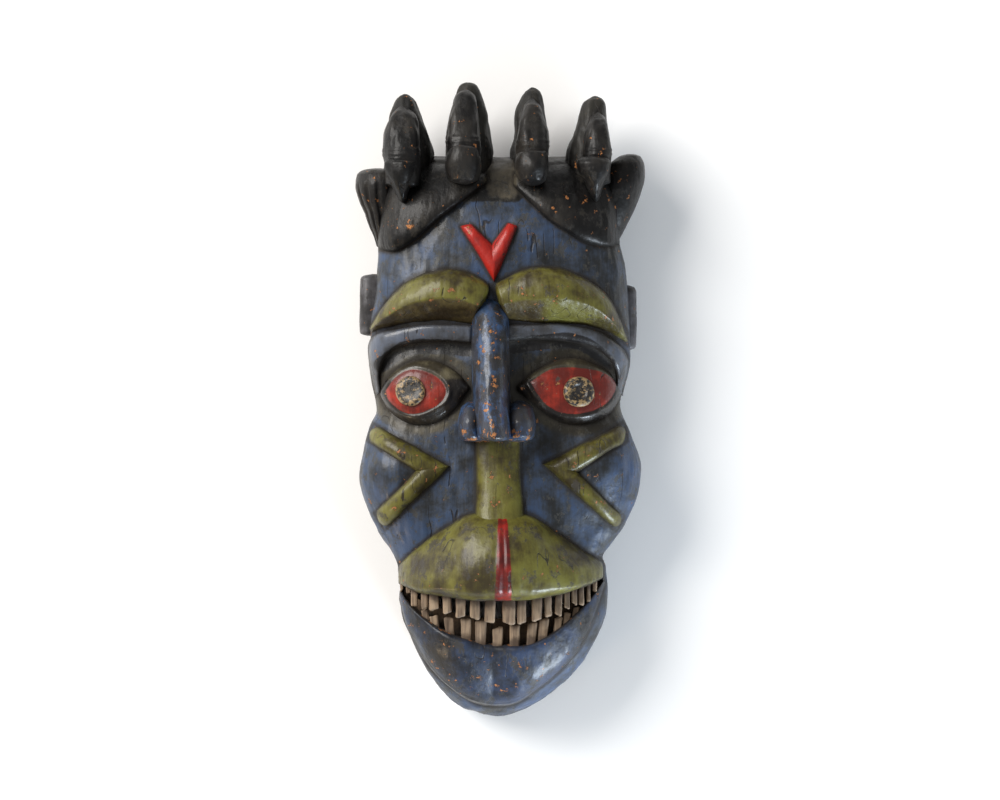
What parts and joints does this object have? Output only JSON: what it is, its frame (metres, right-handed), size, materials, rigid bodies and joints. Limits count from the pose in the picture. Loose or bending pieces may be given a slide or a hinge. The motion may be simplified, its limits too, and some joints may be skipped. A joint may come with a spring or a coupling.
{
  "type": "carved wooden cham mask",
  "caption": "Carved and painted wooden face mask with horns of hair, bulging eyes and pegged teeth, hollow behind, lying on its flat rim.",
  "frame": {"origin": "centre of the footprint, on the surface that the rim lies on", "axes": "+Z out of the face, +Y from the chin to the horns, +X to the right of one who looks at the face"},
  "size_m": [0.2734, 0.6, 0.172],
  "materials": {
    "painted_wood": "slate blue, olive green, black and red oil paint over carved wood, varnished, worn",
    "tooth_wood": "bare weathered wood, matte"
  },
  "bodies": {
    "root": {"mask_body": "painted_wood", "tooth_upper_01": "tooth_wood", "tooth_upper_02": "tooth_wood", "tooth_upper_03": "tooth_wood", "tooth_upper_04": "tooth_wood", "tooth_upper_05": "tooth_wood", "tooth_upper_06": "tooth_wood", "tooth_upper_07": "tooth_wood", "tooth_upper_08": "tooth_wood", "tooth_upper_09": "tooth_wood", "tooth_upper_10": "tooth_wood", "tooth_upper_11": "tooth_wood", "tooth_upper_12": "tooth_wood", "tooth_upper_13": "tooth_wood", "tooth_upper_14": "tooth_wood", "tooth_upper_15": "tooth_wood", "tooth_upper_16": "tooth_wood", "tooth_upper_17": "tooth_wood", "tooth_upper_18": "tooth_wood", "tooth_upper_19": "tooth_wood", "tooth_lower_01": "tooth_wood", "tooth_lower_02": "tooth_wood", "tooth_lower_03": "tooth_wood", "tooth_lower_04": "tooth_wood", "tooth_lower_05": "tooth_wood", "tooth_lower_06": "tooth_wood", "tooth_lower_07": "tooth_wood", "tooth_lower_08": "tooth_wood", "tooth_lower_09": "tooth_wood", "tooth_lower_10": "tooth_wood", "tooth_lower_11": "tooth_wood", "tooth_lower_12": "tooth_wood"}
  },
  "joints": []
}
